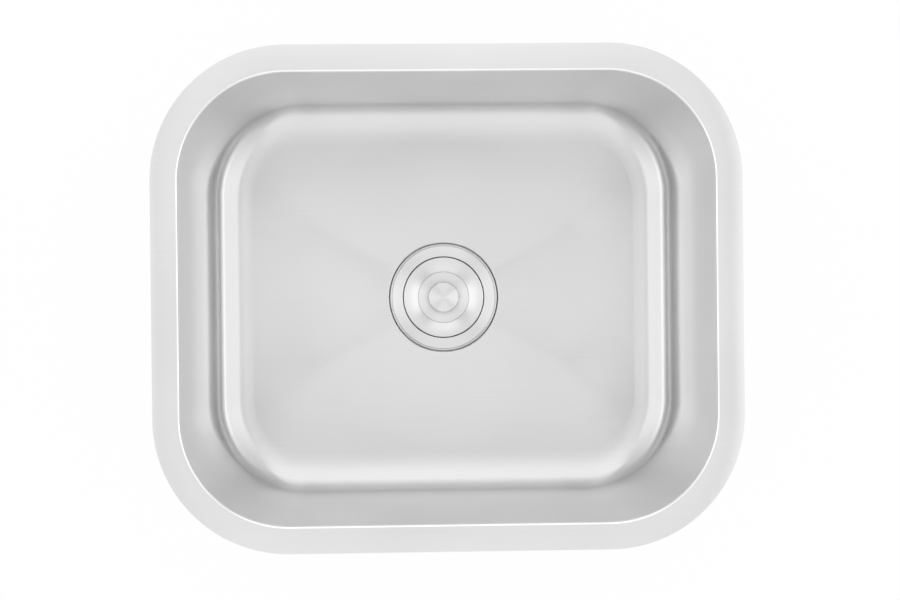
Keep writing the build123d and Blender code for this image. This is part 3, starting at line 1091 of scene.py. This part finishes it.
def pale_floor(size=12.0, shadow_share=0.06):
    """A white floor that keeps a soft shadow."""
    mesh = bpy.data.meshes.new("floor")
    half = size / 2
    z = cad_low.z
    mesh.from_pydata(
        [(-half, -half, z), (half, -half, z), (half, half, z), (-half, half, z)],
        [],
        [(0, 1, 2, 3)],
    )
    floor = bpy.data.objects.new("floor", mesh)
    bpy.context.scene.collection.objects.link(floor)
    material, tree, shader = shader_of("floor")
    shader.inputs["Base Color"].default_value = (0.95, 0.95, 0.95, 1)
    shader.inputs["Roughness"].default_value = 0.9
    glow = add(tree, "ShaderNodeEmission", {"Color": (1, 1, 1, 1), "Strength": 1.0})
    share = math_of(tree, "MULTIPLY", seen_by_camera_or_metal(tree), 1 - shadow_share)
    mix = add(
        tree,
        "ShaderNodeMixShader",
        {0: share, 1: shader.outputs["BSDF"], 2: glow.outputs["Emission"]},
    )
    output = tree.nodes["Material Output"]
    tree.links.new(mix.outputs[0], output.inputs["Surface"])
    mesh.materials.append(material)


def white_world(diffuse_strength=0.8):
    """The camera and metal see a sky that is white up to 30 degrees and greyer above that, with
    a bright ring near the zenith. All other light comes from a plain one."""
    world = bpy.data.worlds.new("studio")
    bpy.context.scene.world = world
    world.use_nodes = True
    world.cycles.sampling_method = "NONE"
    tree = world.node_tree
    tree.nodes.clear()
    white = (1, 1, 1, 1)
    plain = add(
        tree, "ShaderNodeBackground", {"Color": white, "Strength": diffuse_strength}
    )
    way = add(tree, "ShaderNodeTexCoord").outputs["Generated"]
    sky = add(tree, "ShaderNodeValToRGB", {"Fac": part_of(tree, way, "Z")})
    # the sine of the elevation, and the sky's brightness there
    stops = ((0.50, 1.0), (0.62, 0.62), (0.88, 0.70), (0.956, 0.82), (0.989, 0.97), (0.998, 0.79))
    ramp = sky.color_ramp
    while len(ramp.elements) < len(stops):
        ramp.elements.new(1)
    for stop, (place, value) in zip(ramp.elements, stops):
        stop.position = place
        stop.color = (value, value, value, 1)
    shown = add(tree, "ShaderNodeBackground", {"Color": sky.outputs["Color"], "Strength": 1.0})
    inputs = {
        0: seen_by_camera_or_metal(tree),
        1: plain.outputs["Background"],
        2: shown.outputs["Background"],
    }
    mix = add(tree, "ShaderNodeMixShader", inputs)
    output = add(tree, "ShaderNodeOutputWorld")
    tree.links.new(mix.outputs[0], output.inputs["Surface"])


def softbox(name, azimuth, radiance, elevation=44, distance=3.5, width=2.2, height=3.5):
    """A tall soft light that faces the bowl. Its power gives the radiance."""
    light = bpy.data.lights.new(name, "AREA")
    light.shape = "RECTANGLE"
    light.size = width
    light.size_y = height
    light.energy = radiance * width * height * math.pi
    lamp = bpy.data.objects.new(name, light)
    a, e = math.radians(azimuth), math.radians(elevation)
    way = Vector((math.cos(e) * math.cos(a), math.cos(e) * math.sin(a), math.sin(e)))
    lamp.location = way * distance
    lamp.rotation_euler = way.to_track_quat("Z", "Y").to_euler()
    lamp.visible_camera = False
    bpy.context.scene.collection.objects.link(lamp)


def camera():
    """The photograph's view, fitted to the bowl's edges and the drain's rings."""
    data = bpy.data.cameras.new("camera")
    data.lens = 55.31
    data.sensor_width = 36
    data.sensor_fit = "HORIZONTAL"
    view = bpy.data.objects.new("camera", data)
    view.location = (-0.03014, 0.0040, 1.2415)
    view.rotation_euler = [math.radians(a) for a in (-0.26, -1.44, -0.60)]
    bpy.context.scene.collection.objects.link(view)
    bpy.context.scene.camera = view


pale_floor()
white_world()
softbox("light_right", azimuth=0, radiance=0.76)
softbox("light_back", azimuth=90, radiance=0.62)
softbox("light_left", azimuth=180, radiance=0.76)
softbox("light_front", azimuth=270, radiance=0.42)
camera()
bpy.context.scene.view_settings.view_transform = "Standard"
bpy.context.scene.cycles.glossy_bounces = 12
